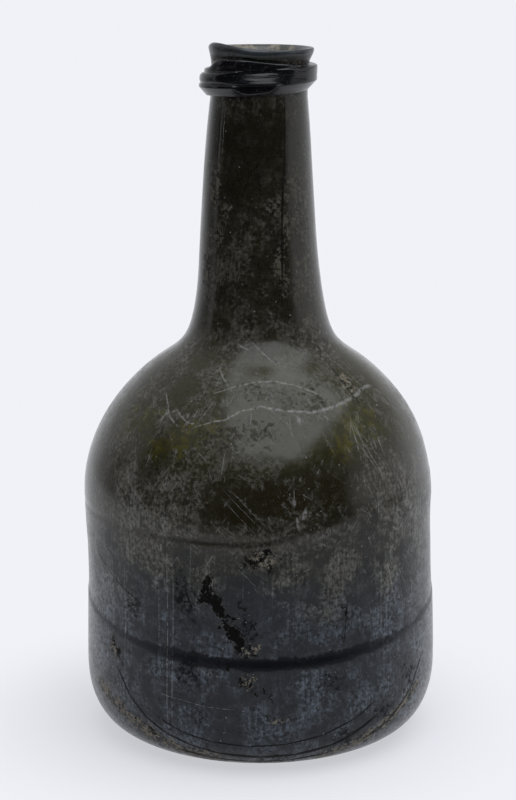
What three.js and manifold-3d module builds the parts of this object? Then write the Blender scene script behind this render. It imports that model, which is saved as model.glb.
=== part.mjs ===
// Free-blown wine bottle of dark glass: a squat round body under a tapering neck, with a trail of
// glass wound round the neck below the lip. Millimetres, +Z up, standing on the plane z = 0, with the
// front of the bottle facing -Y.
import * as THREE from 'three';
import { mergeVertices } from 'three/addons/utils/BufferGeometryUtils.js';
import Module from 'manifold-3d';

const wasm = await Module();
wasm.setup();

// Heights of the stretches, from the table up
const heelHeight = 23.8;
const sideHeight = 56.1;
const shoulderRise = 54.6;
const neckRootLift = 4.6;
const neckHeight = 70.5;
const mouthHeight = 15.3;

// Outside radii
const restOuterRadius = 34.9;
const restFaceWidth = 3.4;
const heelRadius = 57.9;
const waistRadius = 56.4;
const shoulderRadius = 57.4;
const neckRootRadius = 21.9;
const neckTopRadius = 15.5;
const lipRadius = 16.7;

// Shape of the curves between them
const heelRoll = 12.1;
const heelClimb = 19.7;
const sideClimb = 15.3;
const sideArrival = 13.1;
const shoulderArc = THREE.MathUtils.degToRad(39.5);
const shoulderSweep = 20;
const neckSweep = 14.1;
const neckRootSlope = 0.236;
const neckRun = 16.4;
const neckArrival = 29.8;
const neckTopSlope = 0.109;

// Wall thicknesses and the pushed-in base
const sideWall = 3.6;
const shoulderWall = 3.4;
const neckWall = 4.4;
const baseWall = 7.5;
const kickHeight = 36;
const kickWall = 5.5;
const kickTip = 12;
const kickFlank = 8;
const kickFlankRise = 17;
const troughOffset = 3.6;
const troughRun = 7;
const flankSpread = 9;
const flankDip = 7;

// The lip: turned outward to a narrow edge, sloping inside to the bore, and drawn up at one place
const lipFlareHeight = 4.7;
const lipRoundWidth = 0.9;
const lipRoundHeight = 1.1;
const funnelDepth = 5.3;
const funnelLead = 1.6;
const lipPeakHeight = 1.9;
const lipPeakBearing = THREE.MathUtils.degToRad(-65);
const lipPeakSpread = THREE.MathUtils.degToRad(45);

// The trail of glass wound below the lip. Turns are counted from the front by way of the right. The
// stations give shares of its width and thickness, and between two of them it changes smoothly.
const trailDrop = 0.1;
const trailPitch = 3.3;
const trailWidth = 4.4;
const trailThickness = 3.6;
const trailStations = [
  { turn: 0.62, width: 0.5, thickness: 0.7 },
  { turn: 0.7, width: 1, thickness: 1.1 },
  { turn: 0.92, width: 1, thickness: 1 },
  { turn: 0.97, width: 0.9, thickness: 0.4 },
  { turn: 1.02, width: 0.9, thickness: 0.4 },
  { turn: 1.07, width: 1, thickness: 1 },
  { turn: 1.75, width: 0.95, thickness: 1 },
  { turn: 2, width: 1.15, thickness: 1 },
  { turn: 2.25, width: 1.15, thickness: 1 },
  { turn: 2.58, width: 1, thickness: 0.9 },
  { turn: 2.75, width: 0.85, thickness: 0.65 },
  { turn: 2.9, width: 1.05, thickness: 0.6 },
  { turn: 3, width: 0.9, thickness: 0.55 },
  { turn: 3.09, width: 0.7, thickness: 0.45 },
  { turn: 3.17, width: 0.35, thickness: 0.3 },
];

// The tool that pressed the wound trail into two facets that meet in a ridge, and how it was held
const ridgeHeight = 4.3;
const ridgeReach = 3.3;
const upperFacetHeight = 4.5;
const upperFacetSlope = 0.25;
const crownHeight = 6;
const crownSlope = 0.08;
const lowerFacetSlope = 0.9;
const toolTilt = 1.1;
const toolShift = 0.45;

// The ring of torn glass that the holding rod left under the base
const scarInnerRadius = 13.5;
const scarWidth = 5;
const scarThickness = 2.2;
const scarRaggedness = 0.5;

const clearance = 0.3;
const roundSteps = 64;
const longestStretch = 0.85;

// How far the glass wandered sideways as it was worked: share of the height, then shift along X
const wander = new THREE.SplineCurve([
  new THREE.Vector2(0, -0.15),
  new THREE.Vector2(0.1, 0.25),
  new THREE.Vector2(0.27, -0.25),
  new THREE.Vector2(0.36, -0.8),
  new THREE.Vector2(0.58, -0.1),
  new THREE.Vector2(0.78, -0.75),
  new THREE.Vector2(0.93, -0.6),
  new THREE.Vector2(1, 0.3),
]);

// Levels that the stretches add up to
const shoulderLevel = heelHeight + sideHeight;
const neckRootLevel = shoulderLevel + shoulderRise + neckRootLift;
const neckTopLevel = neckRootLevel + neckHeight;
const bottleHeight = neckTopLevel + mouthHeight;
const lipEdgeLevel = bottleHeight - lipRoundHeight;
const flareLevel = lipEdgeLevel - lipFlareHeight;

const point = (radius, height) => new THREE.Vector2(radius, height);

// A cubic curve that leaves one point along a direction and reaches another along a direction
function sweep(from, leave, to, arrive) {
  return new THREE.CubicBezierCurve(from, from.clone().add(leave), to.clone().sub(arrive), to);
}

// A direction up the neck that leans inward by a slope, with a length
function climb(slope, length) {
  return point(-slope, 1).setLength(length);
}

// One skin of the side, shoulder and neck, drawn upward. Zero walls give the outside.
function standingSkin(bodyWall, domeWall, throatWall, counts) {
  const sideFoot = point(heelRadius - bodyWall, heelHeight);
  const sideHead = point(shoulderRadius - bodyWall, shoulderLevel);
  const waistLead = point(shoulderRadius - waistRadius, sideArrival);
  const domeRadius = shoulderRadius - bodyWall;
  const domeRise = shoulderRise - domeWall;
  const dome = new THREE.EllipseCurve(0, shoulderLevel, domeRadius, domeRise, 0, shoulderArc);
  const domeEnd = dome.getPoint(1);
  const domeLead = dome.getTangent(1).setLength(shoulderSweep);
  const root = point(neckRootRadius - throatWall, neckRootLevel);
  const top = point(neckTopRadius - throatWall, neckTopLevel);
  return [
    ...sweep(sideFoot, point(0, sideClimb), sideHead, waistLead).getPoints(counts.side),
    ...dome.getPoints(counts.dome).slice(1),
    ...sweep(domeEnd, domeLead, root, climb(neckRootSlope, neckSweep)).getPoints(counts.sweep).slice(1),
    ...sweep(root, climb(neckRootSlope, neckRun), top, climb(neckTopSlope, neckArrival))
      .getPoints(counts.neck).slice(1),
  ];
}

// The underside of the base, from the axis out to the flat ring that the bottle stands on
const restInnerRadius = restOuterRadius - restFaceWidth;
const kickUnderside = new THREE.CubicBezierCurve(
  point(0, kickHeight),
  point(kickTip, kickHeight),
  point(restInnerRadius - kickFlank, kickFlankRise),
  point(restInnerRadius, 0),
).getPoints(8);

const heel = sweep(
  point(restOuterRadius, 0),
  point(heelRoll, 0),
  point(heelRadius, heelHeight),
  point(0, heelClimb),
).getPoints(7);

const outerSkin = standingSkin(0, 0, 0, { side: 4, dome: 6, sweep: 8, neck: 5 });

// The lip: a flare to its edge, a quarter of an ellipse over the edge and a funnel down to the bore
const boreRadius = neckTopRadius - neckWall;
const flare = sweep(
  point(neckTopRadius, flareLevel),
  point(0, lipFlareHeight / 2),
  point(lipRadius, lipEdgeLevel),
  point(0, lipFlareHeight / 4),
).getPoints(4);
const lipRound = new THREE.EllipseCurve(
  lipRadius - lipRoundWidth, lipEdgeLevel, lipRoundWidth, lipRoundHeight, 0, Math.PI / 2,
).getPoints(3);
const funnel = sweep(
  lipRound[lipRound.length - 1],
  point(-funnelLead, 0),
  point(boreRadius, bottleHeight - funnelDepth),
  point(0, -funnelDepth / 2),
).getPoints(5);

// The inside, which is drawn upward too and then turned round to run down from the mouth
const innerStanding = standingSkin(sideWall, shoulderWall, neckWall, { side: 2, dome: 4, sweep: 5, neck: 3 });
const troughRadius = restOuterRadius + troughOffset;
const innerHeel = sweep(
  point(troughRadius, baseWall),
  point(troughRun, 0),
  point(heelRadius - sideWall, heelHeight),
  point(0, heelClimb / 2),
).getPoints(5);
const innerKick = new THREE.CubicBezierCurve(
  point(0, kickHeight + kickWall),
  point(kickTip + kickWall, kickHeight + kickWall),
  point(restInnerRadius - kickFlank + flankSpread, kickFlankRise - flankDip),
  point(troughRadius, baseWall),
).getPoints(6);
const inside = [...innerKick, ...innerHeel.slice(1), ...innerStanding.slice(1)].reverse();

const outside = [...kickUnderside, ...heel, ...outerSkin.slice(1), ...flare, ...lipRound.slice(1)];

// Moves a worked surface sideways with the wander and draws the lip up at its peak
function handWorked(geometry) {
  const position = geometry.attributes.position;
  for (let i = 0; i < position.count; i += 1) {
    const x = position.getX(i);
    const y = position.getY(i);
    const z = position.getZ(i);
    const share = THREE.MathUtils.clamp(z / bottleHeight, 0, 1);
    const lift = THREE.MathUtils.smoothstep(z, flareLevel, lipEdgeLevel);
    const fromPeak = (Math.atan2(x, -y) - lipPeakBearing) / lipPeakSpread;
    position.setXYZ(i, x + wanderAt(share), y, z + lift * lipPeakHeight * Math.exp(-(fromPeak ** 2)));
  }
  geometry.computeVertexNormals();
  return geometry;
}

// The wander at a share of the bottle's height, between the two nearest points of its curve
const wanderPoints = wander.getPoints(60);
function wanderAt(share) {
  return heightIn(wanderPoints, share);
}

// The second coordinate of a drawn line where its first one has a value
function heightIn(line, value) {
  const found = line.findIndex((p) => p.x >= value);
  const after = found < 0 ? line.length - 1 : Math.max(1, found);
  const high = line[after];
  const low = line[after - 1];
  return THREE.MathUtils.mapLinear(value, low.x, high.x, low.y, high.y);
}

// Turns a profile about the bottle's axis; the first step faces the front
function turned(profile) {
  const geometry = new THREE.LatheGeometry(profile, roundSteps);
  geometry.rotateX(Math.PI / 2);
  geometry.deleteAttribute('normal');
  geometry.deleteAttribute('uv');
  return mergeVertices(geometry, 1e-4);
}

function solidOf(geometry) {
  const corners = geometry.index.array;
  const kept = [];
  for (let i = 0; i < corners.length; i += 3) {
    const [a, b, c] = corners.subarray(i, i + 3);
    if (a !== b && b !== c && c !== a) kept.push(a, b, c);
  }
  return new wasm.Manifold(new wasm.Mesh({
    numProp: 3,
    vertProperties: new Float32Array(geometry.attributes.position.array),
    triVerts: new Uint32Array(kept),
  }));
}

function geometryOf(solid) {
  const mesh = solid.getMesh();
  const geometry = new THREE.BufferGeometry();
  geometry.setAttribute('position', new THREE.BufferAttribute(mesh.vertProperties, 3));
  geometry.setIndex(new THREE.BufferAttribute(mesh.triVerts, 1));
  return geometry;
}

// Outside radius of the bare neck at a height, along the straight edges of its drawn outline
const neckOutline = [...outerSkin, ...flare].map((p) => point(p.y, p.x));
const neckRadiusAt = (height) => heightIn(neckOutline, height);

// The trail's place and size at a turn, between the stations on either side
const trailFoot = neckTopLevel - trailDrop;
const trailStart = trailStations[0].turn;
const trailEnd = trailStations[trailStations.length - 1].turn;
function trailAt(turn) {
  const after = Math.max(1, trailStations.findIndex((station) => station.turn >= turn));
  const low = trailStations[after - 1];
  const high = trailStations[after];
  const share = THREE.MathUtils.smoothstep(turn, low.turn, high.turn);
  const width = trailWidth * THREE.MathUtils.lerp(low.width, high.width, share);
  return {
    bearing: 2 * Math.PI * turn,
    middle: trailFoot + trailPitch * (turn - trailStart) + width / 2,
    width,
    thickness: trailThickness * THREE.MathUtils.lerp(low.thickness, high.thickness, share),
  };
}

// The trail's section: a squarish half oval on a root that is buried in the neck
const sectionSteps = 6;
const sectionSquareness = 0.7;
function trailSection(turn) {
  const { bearing, middle, width, thickness } = trailAt(turn);
  const root = neckRadiusAt(middle);
  const buried = root - neckWall / 2;
  const ring = [point(buried, middle - width / 2), point(buried, middle + width / 2)];
  for (let i = 0; i <= sectionSteps; i += 1) {
    const angle = Math.PI * (0.5 - i / sectionSteps);
    const rise = Math.sign(Math.sin(angle)) * Math.abs(Math.sin(angle)) ** sectionSquareness;
    const bulge = Math.abs(Math.cos(angle)) ** sectionSquareness;
    ring.push(point(root + thickness * bulge, middle + (width / 2) * rise));
  }
  return ring.map((p) => new THREE.Vector3(p.x * Math.sin(bearing), -p.x * Math.cos(bearing), p.y));
}

// Skins the sections from one step to another and closes both ends
function trailStretch(firstStep, lastStep) {
  const positions = [];
  const faces = [];
  const around = sectionSteps + 3;
  for (let step = firstStep; step <= lastStep; step += 1) {
    for (const corner of trailSection(step / roundSteps)) positions.push(corner.x, corner.y, corner.z);
  }
  for (let ring = 0; ring < lastStep - firstStep; ring += 1) {
    for (let i = 0; i < around; i += 1) {
      const a = ring * around + i;
      const b = ring * around + ((i + 1) % around);
      faces.push(a, b, a + around, b, b + around, a + around);
    }
  }
  const end = (lastStep - firstStep) * around;
  for (let i = 1; i < around - 1; i += 1) {
    faces.push(0, i + 1, i);
    faces.push(end, end + i, end + i + 1);
  }
  const geometry = new THREE.BufferGeometry();
  geometry.setAttribute('position', new THREE.Float32BufferAttribute(positions, 3));
  geometry.setIndex(faces);
  return geometry;
}

// The space inside the pressing tool: the ridge between its facets, held a little askew
function toolSpace() {
  const ridgeLevel = trailFoot + ridgeHeight;
  const ridgeRadius = neckTopRadius + ridgeReach;
  const crownRadius = ridgeRadius - upperFacetHeight * upperFacetSlope;
  const space = turned([
    point(0, ridgeLevel - 2 * ridgeHeight),
    point(ridgeRadius - 2 * ridgeHeight * lowerFacetSlope, ridgeLevel - 2 * ridgeHeight),
    point(ridgeRadius, ridgeLevel),
    point(crownRadius, ridgeLevel + upperFacetHeight),
    point(crownRadius - crownHeight * crownSlope, ridgeLevel + upperFacetHeight + crownHeight),
    point(0, ridgeLevel + upperFacetHeight + crownHeight),
  ]);
  const position = space.attributes.position;
  for (let i = 0; i < position.count; i += 1) {
    const x = position.getX(i);
    position.setXYZ(i, x - toolShift, position.getY(i), position.getZ(i) + (toolTilt * x) / ridgeRadius);
  }
  return solidOf(space);
}

// The wound trail: stretches of less than a turn fused into one piece, pressed and seated on the neck
function stringRimGeometry() {
  const start = Math.ceil(trailStart * roundSteps);
  const steps = Math.floor(trailEnd * roundSteps) - start;
  const stretches = Math.ceil(steps / roundSteps / longestStretch);
  let trail = null;
  for (let i = 0; i < stretches; i += 1) {
    const first = start + Math.round((steps * i) / stretches);
    const last = start + Math.round((steps * (i + 1)) / stretches);
    const stretch = solidOf(trailStretch(first, last));
    trail = trail ? trail.add(stretch) : stretch;
  }
  const sleeve = [
    point(0, neckRootLevel),
    ...neckOutline.filter((p) => p.x >= neckRootLevel).map((p) => point(p.y + clearance, p.x)),
    point(lipRadius + clearance, bottleHeight + mouthHeight),
    point(0, bottleHeight + mouthHeight),
  ];
  return handWorked(geometryOf(trail.intersect(toolSpace()).subtract(solidOf(turned(sleeve)))));
}

// The vessel: one blown wall, from the tip of the kick round the outside and back down the inside
function vesselGeometry() {
  return handWorked(turned([...outside, ...funnel.slice(1), ...inside]));
}

// The scar follows the underside of the kick at the clearance, and its free face is broken off unevenly
function pontilScarGeometry() {
  const radii = [0, 1 / 3, 2 / 3, 1].map((share) => scarInnerRadius + scarWidth * share);
  const seat = radii.map((radius) => point(radius, heightIn(kickUnderside, radius) - clearance));
  const free = radii.map((radius, i) => {
    const edge = Math.sin((Math.PI * (i + 0.5)) / radii.length);
    return point(radius, seat[i].y - scarThickness * edge);
  });
  const geometry = turned([...free, ...seat.reverse(), free[0]]);
  const position = geometry.attributes.position;
  for (let i = 0; i < position.count; i += 1) {
    const radius = Math.hypot(position.getX(i), position.getY(i));
    const bearing = Math.atan2(position.getY(i), position.getX(i));
    const depth = heightIn(kickUnderside, Math.min(radius, restInnerRadius)) - clearance - position.getZ(i);
    const broken = 1 - scarRaggedness * (0.5 + 0.3 * Math.sin(5 * bearing) + 0.2 * Math.sin(11 * bearing));
    if (depth > 0) position.setZ(i, position.getZ(i) + depth * (1 - broken));
  }
  return handWorked(geometry);
}

function glassMesh(name, geometry, color, roughness) {
  const mesh = new THREE.Mesh(geometry, new THREE.MeshStandardMaterial({ color, roughness, metalness: 0 }));
  mesh.name = name;
  return mesh;
}

const bottle = new THREE.Group();
bottle.add(glassMesh('vessel', vesselGeometry(), '#23251b', 0.22));
bottle.add(glassMesh('string_rim', stringRimGeometry(), '#26282a', 0.3));
bottle.add(glassMesh('pontil_scar', pontilScarGeometry(), '#3a3a2c', 0.6));

export default bottle;
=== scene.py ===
"""A free-blown wine bottle of dark glass that has weathered in the ground, with a wound string rim.

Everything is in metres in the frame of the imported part: +Z up, the front facing -Y. Bearings are
counted from the front by way of the right.
"""

import math
from functools import partial, reduce
from types import SimpleNamespace
from typing import NamedTuple

import bpy
from bpy.props import FloatProperty, FloatVectorProperty, IntProperty, PointerProperty
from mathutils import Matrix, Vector


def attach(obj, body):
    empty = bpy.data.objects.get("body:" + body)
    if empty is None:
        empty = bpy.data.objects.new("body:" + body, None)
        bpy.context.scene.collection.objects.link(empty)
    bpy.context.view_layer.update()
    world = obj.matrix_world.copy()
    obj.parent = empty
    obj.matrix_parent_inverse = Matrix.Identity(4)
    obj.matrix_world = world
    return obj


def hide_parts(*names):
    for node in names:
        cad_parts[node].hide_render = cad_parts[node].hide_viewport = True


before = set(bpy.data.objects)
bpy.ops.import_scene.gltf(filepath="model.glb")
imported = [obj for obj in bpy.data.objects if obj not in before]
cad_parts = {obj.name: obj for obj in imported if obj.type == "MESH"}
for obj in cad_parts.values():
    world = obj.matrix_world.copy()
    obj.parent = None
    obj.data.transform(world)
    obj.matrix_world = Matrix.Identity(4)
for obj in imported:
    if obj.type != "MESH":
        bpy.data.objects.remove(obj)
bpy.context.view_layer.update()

bl_info = {
    "name": "Weathered wine bottle",
    "version": (1, 0, 0),
    "blender": (4, 5, 0),
    "location": "3D View > Sidebar > Bottle",
    "description": "Blows, trails and weathers a wine bottle of dark glass",
    "category": "Add Mesh",
}

# Sizes are written in millimetres times MM, and a size times IN_MM is in millimetres again
MM = 0.001
IN_MM = 1000
TURN = 2 * math.pi
BODY = "root"


def length(name, millimetres, description):
    """A size property, given in millimetres and kept in metres."""
    return FloatProperty(
        name=name, description=description, default=millimetres * MM, precision=5, unit="LENGTH"
    )


def angle(name, degrees, description):
    """An angle property, given in degrees."""
    return FloatProperty(
        name=name, description=description, default=math.radians(degrees), subtype="ANGLE"
    )


def colour(name, values, description):
    """A linear colour property."""
    return FloatVectorProperty(
        name=name, description=description, default=values, size=3, min=0, max=1, subtype="COLOR"
    )


class BottleSizes(bpy.types.PropertyGroup):
    """The driving sizes of the bottle."""

    heel_height: length("Heel height", 23.8, "Height at which the heel meets the side")
    side_height: length("Side height", 56.1, "From the heel to the shoulder")
    shoulder_rise: length("Shoulder rise", 54.6, "Rise of the shoulder's dome if it were whole")
    neck_root_lift: length("Neck root lift", 4.6, "From the dome's top to the root of the neck")
    neck_height: length("Neck height", 70.5, "From the neck's root to the string rim")
    mouth_height: length("Mouth height", 15.3, "From the foot of the string rim to the lip")
    rest_outer: length("Resting ring radius", 34.9, "Outside radius of the ring it stands on")
    rest_width: length("Resting ring width", 3.4, "Width of the flat ring it stands on")
    heel_radius: length("Heel radius", 57.9, "Outside radius above the heel")
    waist_radius: length("Waist radius", 56.4, "Outside radius that the side is drawn in to")
    shoulder_radius: length("Shoulder radius", 57.4, "Outside radius under the shoulder")
    neck_root_radius: length("Neck root radius", 21.9, "Outside radius at the neck's root")
    neck_top_radius: length("Neck top radius", 15.5, "Outside radius under the string rim")
    lip_radius: length("Lip radius", 16.7, "Outside radius of the lip's edge")
    heel_roll: length("Heel roll", 12.1, "How far the heel runs flat before it climbs")
    side_wall: length("Side wall", 3.6, "Wall of the side")
    shoulder_wall: length("Shoulder wall", 3.4, "Wall of the shoulder")
    neck_wall: length("Neck wall", 4.4, "Wall of the neck")
    base_wall: length("Base wall", 7.5, "Wall above the resting ring")
    kick_height: length("Kick height", 36, "How far the base is pushed in")
    kick_wall: length("Kick wall", 5.5, "Wall at the top of the kick")
    lip_flare: length("Lip flare", 4.7, "Height over which the lip turns outward")
    lip_peak: length("Lip peak", 1.9, "How far the lip is drawn up at one place")
    lip_bearing: angle("Lip peak bearing", -65, "Where the lip is drawn up")
    ripple: length("Ripple", 0.14, "How far the blown wall wanders in and out")
    band_depth: length("Band depth", 0.3, "Step in the side at the tilted band")
    seam_depth: length("Seam depth", 0.16, "Step under the shoulder")
    steps_round: IntProperty(name="Steps round", description="Faces round the bottle", default=180)


class RimSizes(bpy.types.PropertyGroup):
    """The driving sizes of the wound string rim."""

    drop: length("Drop", 0.1, "How far the trail starts below the neck's top")
    pitch: length("Pitch", 3.3, "Rise of the trail in one turn")
    width: length("Width", 4.4, "Width of the trail")
    thickness: length("Thickness", 3.6, "How far the trail stands out from the neck")
    ridge_height: length("Ridge height", 4.3, "Height of the pressed ridge above the trail's foot")
    ridge_reach: length("Ridge reach", 3.3, "How far the pressed ridge stands out")
    tilt: length("Tool tilt", 1.1, "Rise of the pressed ridge from the front to the right")
    shift: length("Tool shift", 0.45, "How far the pressing tool was held to the left")
    steps_round: IntProperty(name="Steps round", description="Faces round the rim", default=384)
    rows: IntProperty(name="Rows", description="Rows of faces up the rim", default=92)


class GlassColours(bpy.types.PropertyGroup):
    """The colours of the glass and of what the ground has left on it."""

    glass: colour("Glass", (0.0050, 0.0052, 0.0034), "Bare dark glass")
    olive: colour("Olive", (0.054, 0.048, 0.003), "Light that comes through the thin shoulder")
    umber: colour("Umber", (0.0145, 0.0115, 0.0035), "Brown tint of the upper body")
    blue: colour("Blue", (0.0030, 0.0058, 0.0105), "Bluish tint of the lower body")
    low_film: colour("Low film", (0.0180, 0.0218, 0.0275), "Dull film on the lower body")
    # Low haze also gives the pale blue reflection painted on the lip's top edge
    low_haze: colour("Low haze", (0.105, 0.125, 0.150), "Pale streaks on the lower body")
    stain: colour("Stain", (0.0024, 0.0028, 0.0042), "Dark stains on the lower body")
    film: colour("Film", (0.040, 0.036, 0.0225), "Dull film on the shoulder and neck")
    haze: colour("Haze", (0.135, 0.129, 0.110), "Pale specks in the film")
    pit: colour("Pit", (0.0024, 0.0022, 0.0017), "Bottom of the flaked places")
    # The crust colour also gives the light painted along the bottom edge and the tan inside the mouth's
    # back
    crust: colour("Crust", (0.225, 0.195, 0.148), "Lime crust")
    worn: colour("Worn", (0.330, 0.330, 0.315), "Scratched and chipped glass")
    trail: colour("Trail", (0.0040, 0.0040, 0.0058), "Glass of the string rim")
    lip: colour("Lip", (0.0085, 0.0075, 0.0040), "Dull film on the lip")


class StageSettings(bpy.types.PropertyGroup):
    """Camera and studio."""

    distance: length("Distance", 710.5, "From the bottle's axis to the camera")
    camera_height: length("Camera height", 272.1, "Height of the camera above the table")
    camera_side: length("Camera side", -0.64, "How far the camera stands to the right")
    tilt: angle("Tilt", 12.84, "How far the camera looks down")
    focal: FloatProperty(name="Focal length", description="Lens in millimetres", default=99.77)
    backdrop: colour("Backdrop", (0.875, 0.885, 0.93), "Pale surroundings")
    flag: colour("Flag", (0.04, 0.04, 0.045), "Dark screen round the camera's side")
    softbox_width: length("Softbox width", 1110, "Width of the light overhead")
    softbox_depth: length("Softbox depth", 1420, "Depth of the light overhead")
    softbox_turn: angle("Softbox turn", 11, "How far the light is turned round the vertical")
    softbox_level: FloatProperty(name="Softbox level", description="Brightness", default=2.2)
    softbox_colour: colour("Softbox colour", (0.92, 0.96, 1.0), "Tint of the light overhead")


def operator_of(operation, swapped=False):
    """One operator of Wire, which adds a Math node; its reflected form swaps the two values."""

    def apply(self, other):
        values = (other, self) if swapped else (self, other)
        return self.plan.maths(operation, *values)

    return apply


class Wire:
    """An output socket that takes part in Python arithmetic, which adds Math nodes."""

    def __init__(self, plan, socket):
        self.plan = plan
        self.socket = socket

    __add__ = operator_of("ADD")
    __radd__ = operator_of("ADD", swapped=True)
    __sub__ = operator_of("SUBTRACT")
    __rsub__ = operator_of("SUBTRACT", swapped=True)
    __mul__ = operator_of("MULTIPLY")
    __rmul__ = operator_of("MULTIPLY", swapped=True)
    __truediv__ = operator_of("DIVIDE")
    __rtruediv__ = operator_of("DIVIDE", swapped=True)
    __pow__ = operator_of("POWER")

    def __neg__(self):
        return self.plan.maths("SUBTRACT", 0.0, self)

    def __abs__(self):
        return self.plan.maths("ABSOLUTE", self)


# How far a seed moves the noise along each axis
SEED_STRIDES = (37.0, 11.0, 23.0)


class Plan:
    """Adds nodes to one tree, for shaders and for geometry alike."""

    def __init__(self, tree):
        self.tree = tree

    def node(self, kind, settings=None, inputs=None):
        """Adds a node: its settings first, then the values or wires of its sockets."""
        made = self.tree.nodes.new(kind)
        for name, value in (settings or {}).items():
            if name == "points":
                draw_curve(made.mapping, value)
            else:
                setattr(made, name, value)
        for name, value in (inputs or {}).items():
            if isinstance(value, Wire):
                self.tree.links.new(value.socket, made.inputs[name])
            else:
                made.inputs[name].default_value = value
        return made

    def wire(self, kind, settings=None, inputs=None, output=0):
        """Adds a node and returns one of its outputs."""
        return Wire(self, self.node(kind, settings, inputs).outputs[output])

    def maths(self, operation, *values):
        """A Math node on up to three values."""
        return self.wire("ShaderNodeMath", {"operation": operation}, dict(enumerate(values)))

    def vectors(self, operation, *values, output="Vector"):
        """A Vector Math node on up to three vectors."""
        settings = {"operation": operation}
        return self.wire("ShaderNodeVectorMath", settings, dict(enumerate(values)), output)

    def smallest(self, first, *others):
        return reduce(partial(self.maths, "MINIMUM"), others, first)

    def largest(self, first, *others):
        return reduce(partial(self.maths, "MAXIMUM"), others, first)

    def step(self, value, low, high):
        """Passes smoothly from 0 at low to 1 at high."""
        return self.wire(
            "ShaderNodeMapRange",
            {"interpolation_type": "SMOOTHSTEP"},
            {"Value": value, "From Min": low, "From Max": high},
        )

    def between(self, value, rise, fall):
        """Passes from 0 to 1 over one stretch of the value and back to 0 over another."""
        return self.step(value, *rise) * (1 - self.step(value, *fall))

    def curve(self, value, points):
        """A drawn curve through the points, from 0 to 1 both ways."""
        return self.wire("ShaderNodeFloatCurve", {"points": points}, {"Value": value})

    def vector(self, x, y, z):
        return self.wire("ShaderNodeCombineXYZ", None, {0: x, 1: y, 2: z})

    def parts(self, vector):
        split = self.node("ShaderNodeSeparateXYZ", None, {0: vector})
        return [Wire(self, output) for output in split.outputs]

    def noise(self, at, size, detail, seed, roughness=0.5):
        """Smooth noise around 0.5 with features of about a size."""
        offset = self.vector(*[seed * stride for stride in SEED_STRIDES])
        moved = self.vectors("ADD", at, offset)
        inputs = {"Vector": moved, "Scale": 1 / size, "Detail": detail, "Roughness": roughness}
        return self.wire("ShaderNodeTexNoise", None, inputs)

    def mix(self, share, first, second):
        """Passes from one colour to another."""
        colours = {name: as_colour(value) for name, value in ((6, first), (7, second))}
        return self.wire(
            "ShaderNodeMix", {"data_type": "RGBA"}, {0: share, **colours}, output=2
        )

    def blend(self, share, first, second):
        """Passes from one shader to another."""
        return self.wire("ShaderNodeMixShader", None, {0: share, 1: first, 2: second})

    def relief(self, height, strength, distance):
        """The normals of a surface with a fine relief."""
        inputs = {"Strength": strength, "Distance": distance, "Height": height}
        return self.wire("ShaderNodeBump", None, inputs)

    def bare_glass(self, tone, roughness, index, normal):
        """Clean glass of a refractive index."""
        inputs = {"Base Color": tone, "Roughness": roughness, "IOR": index, "Normal": normal}
        return self.wire("ShaderNodeBsdfPrincipled", None, inputs)


def as_colour(value):
    """A wire as it is, or a colour with its alpha."""
    return value if isinstance(value, Wire) else (*value, 1.0)


def draw_curve(mapping, points):
    """Puts a mapping's one curve through the points."""
    line = mapping.curves[0]
    while len(line.points) > 2:
        line.points.remove(line.points[1])
    line.points[0].location = points[0]
    line.points[1].location = points[-1]
    for place in points[1:-1]:
        line.points.new(*place)
    for point in line.points:
        point.handle_type = "AUTO"
    mapping.update()


def placed(name, data):
    """A new object of the scene that holds the data."""
    made = bpy.data.objects.new(name, data)
    bpy.context.scene.collection.objects.link(made)
    return made


# Shape of the wall, as spans of cubic curve in radius and height


class Span(NamedTuple):
    """One cubic span: its start, its two control points and its end."""

    start: Vector
    leave: Vector
    arrive: Vector
    end: Vector


def at(radius, height):
    return Vector((radius, height))


def sweep(start, leave, end, arrive):
    return Span(start, start + leave, end - arrive, end)


def straight(start, end):
    return sweep(start, (end - start) / 3, end, (end - start) / 3)


def backward(span):
    return Span(*reversed(span))


def divided(span, count):
    """The same curve as several shorter spans, so that it gets more rows."""
    pieces = []
    rest = span
    for left in range(count, 1, -1):
        share = 1 / left
        a, b, c, d = rest
        ab, bc, cd = a.lerp(b, share), b.lerp(c, share), c.lerp(d, share)
        abc, bcd = ab.lerp(bc, share), bc.lerp(cd, share)
        cut = abc.lerp(bcd, share)
        pieces.append(Span(a, ab, abc, cut))
        rest = Span(cut, bcd, cd, d)
    return [*pieces, rest]


def climb(slope, run):
    """A direction up the neck that leans inward by a slope, with a length."""
    return Vector((-slope, 1)).normalized() * run


SHOULDER_ARC = math.radians(39.5)
NECK_ROOT_SLOPE = 0.236
NECK_TOP_SLOPE = 0.109

# How far the outside runs on from a place, or up to it, before it turns
HEEL_CLIMB = 19.7 * MM
SIDE_CLIMB = 15.3 * MM
SIDE_ARRIVAL = 13.1 * MM
SHOULDER_SWEEP = 20 * MM
NECK_SWEEP = 14.1 * MM
NECK_RUN = 16.4 * MM
NECK_ARRIVAL = 29.8 * MM

# The kick's round tip and its flank, and the trough round it inside
KICK_TIP = 12 * MM
KICK_FLANK = 8 * MM
KICK_FLANK_RISE = 17 * MM
TROUGH_OFFSET = 3.6 * MM
TROUGH_RUN = 7 * MM
FLANK_SPREAD = 9 * MM
FLANK_DIP = 7 * MM

# The lip's rounded edge and the funnel inside it
LIP_ROUND_WIDTH = 0.9 * MM
LIP_ROUND_HEIGHT = 1.1 * MM
LIP_ROUND_CLIMB = 0.6 * MM
LIP_ROUND_ARRIVAL = 0.5 * MM
FUNNEL_DEPTH = 5.3 * MM
FUNNEL_LEAD = 1.6 * MM


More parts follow.
